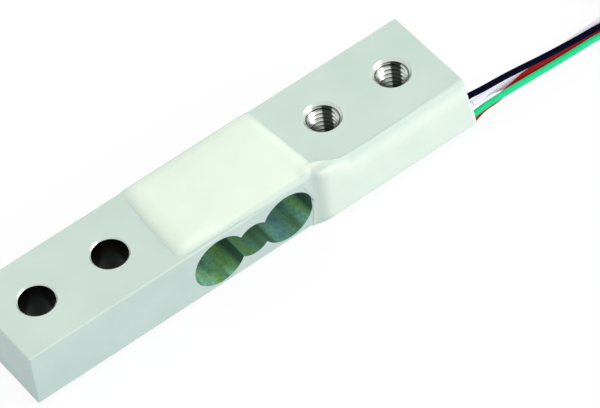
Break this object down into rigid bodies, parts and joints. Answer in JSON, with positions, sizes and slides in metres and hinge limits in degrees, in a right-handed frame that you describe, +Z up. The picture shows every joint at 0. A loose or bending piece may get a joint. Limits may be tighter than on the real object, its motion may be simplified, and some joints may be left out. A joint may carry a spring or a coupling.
{
  "type": "single point load cell",
  "caption": "Slim aluminium bar load cell with a binocular cut-out, plain and threaded mounting holes, silicone-covered strain gauges and loose bridge leads.",
  "frame": {"origin": "on the floor under the centre of the bar, at the level of the underside bead", "axes": "+X along the bar to the wire end, +Y across the bar to the side with no coat, +Z up, out of the face with the thread mouths"},
  "size_m": [0.1085, 0.0137, 0.0094],
  "materials": {
    "bar": "bead-blasted clear anodised aluminium, bores left as machined",
    "silicone": "white silicone rubber, hand applied, satin",
    "film": "amber polyimide film",
    "foil": "etched constantan foil",
    "board": "glass-fibre laminate",
    "copper": "tinned copper pad",
    "solder": "solder",
    "strand": "tinned stranded copper",
    "enamel": "enamelled copper wire",
    "lead_black": "black lead insulation",
    "lead_white": "white lead insulation",
    "lead_green": "green lead insulation",
    "lead_red": "red lead insulation",
    "tie": "white tie"
  },
  "bodies": {
    "root": {"beam_body": "bar", "gauge_film_top_left": "film", "gauge_grid_top_left": "foil", "gauge_film_top_right": "film", "gauge_grid_top_right": "foil", "gauge_film_bottom_left": "film", "gauge_grid_bottom_left": "foil", "gauge_film_bottom_right": "film", "gauge_grid_bottom_right": "foil", "terminal_board": "board", "pad_red": "copper", "solder_red": "solder", "core_red": "strand", "sleeve_red": "lead_red", "lead_red": "lead_red", "tip_red": "strand", "pad_green": "copper", "solder_green": "solder", "core_green": "strand", "sleeve_green": "lead_green", "lead_green": "lead_green", "tip_green": "strand", "pad_white": "copper", "solder_white": "solder", "core_white": "strand", "sleeve_white": "lead_white", "lead_white": "lead_white", "tip_white": "strand", "pad_black": "copper", "solder_black": "solder", "core_black": "strand", "sleeve_black": "lead_black", "lead_black": "lead_black", "tip_black": "strand", "bridge_top_left_near": "enamel", "bridge_top_left_far": "enamel", "bridge_top_right_far": "enamel", "bridge_top_right_near": "enamel", "bridge_underside": "enamel", "bridge_cross_red": "enamel", "bridge_cross_green": "enamel", "bridge_cross_white": "enamel", "top_sealant": "silicone", "side_sealant": "silicone", "underside_sealant": "silicone", "lead_hank": "lead_black", "hank_tie": "tie"}
  },
  "joints": []
}
